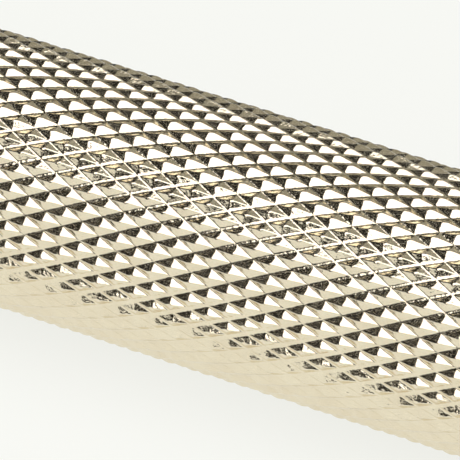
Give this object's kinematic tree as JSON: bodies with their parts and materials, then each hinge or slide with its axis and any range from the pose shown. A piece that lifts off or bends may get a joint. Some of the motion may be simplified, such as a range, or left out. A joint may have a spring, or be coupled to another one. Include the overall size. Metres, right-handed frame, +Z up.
{
  "type": "scriber",
  "caption": "Double-ended engineer's scriber: knurled nickel-plated handle, a collet chuck with a hexagonal flange at each end, a sliding carbide-tipped point and a swivelling bent point.",
  "frame": {"origin": "on the surface the tool lies on, under the middle of its box", "axes": "+X along the handle towards the straight point, +Y away from the bent point's leg, +Z up"},
  "size_m": [0.2106, 0.0314, 0.011],
  "materials": {
    "nickel": "bright warm nickel plate",
    "bright_steel": "turned, bright",
    "hardened_steel": "hardened and ground",
    "carbide": "ground tungsten carbide, dark grey"
  },
  "bodies": {
    "handle": {"handle_tube": "nickel", "centre_plug": "bright_steel", "front_chuck_body": "nickel", "rear_chuck_body": "nickel"},
    "front_collet": {"front_collet": "bright_steel"},
    "front_chuck_nut": {"front_chuck_nut": "nickel"},
    "straight_point": {"straight_point": "hardened_steel", "carbide_tip": "carbide"},
    "rear_collet": {"rear_collet": "bright_steel"},
    "rear_chuck_nut": {"rear_chuck_nut": "nickel"},
    "bent_point": {"bent_point": "hardened_steel"}
  },
  "joints": [
    {"name": "front_collet_slide", "type": "slide", "parent": "handle", "child": "front_collet", "axis": [1, 0, 0], "range_m": [0, 0.00112]},
    {"name": "front_nut_turn", "type": "hinge", "parent": "front_collet", "child": "front_chuck_nut", "pos_m": [0.0466, 0.00932, 0.0055], "axis": [1, 0, 0], "range_deg": [0, 540]},
    {"name": "straight_point_slide", "type": "slide", "parent": "handle", "child": "straight_point", "axis": [1, 0, 0], "range_m": [-0.031, 0.008]},
    {"name": "rear_collet_slide", "type": "slide", "parent": "handle", "child": "rear_collet", "axis": [-1, 0, 0], "range_m": [0, 0.00112]},
    {"name": "rear_nut_turn", "type": "hinge", "parent": "rear_collet", "child": "rear_chuck_nut", "pos_m": [-0.07, 0.00932, 0.0055], "axis": [-1, 0, 0], "range_deg": [0, 540]},
    {"name": "bent_point_turn", "type": "hinge", "parent": "handle", "child": "bent_point", "pos_m": [-0.1, 0.00932, 0.0055], "axis": [-1, 0, 0], "continuous": true}
  ],
  "couplings": [
    {"joint": "front_nut_turn", "follows": "front_collet_slide", "rad_per_m": 8377.6},
    {"joint": "rear_nut_turn", "follows": "rear_collet_slide", "rad_per_m": 8377.6}
  ]
}
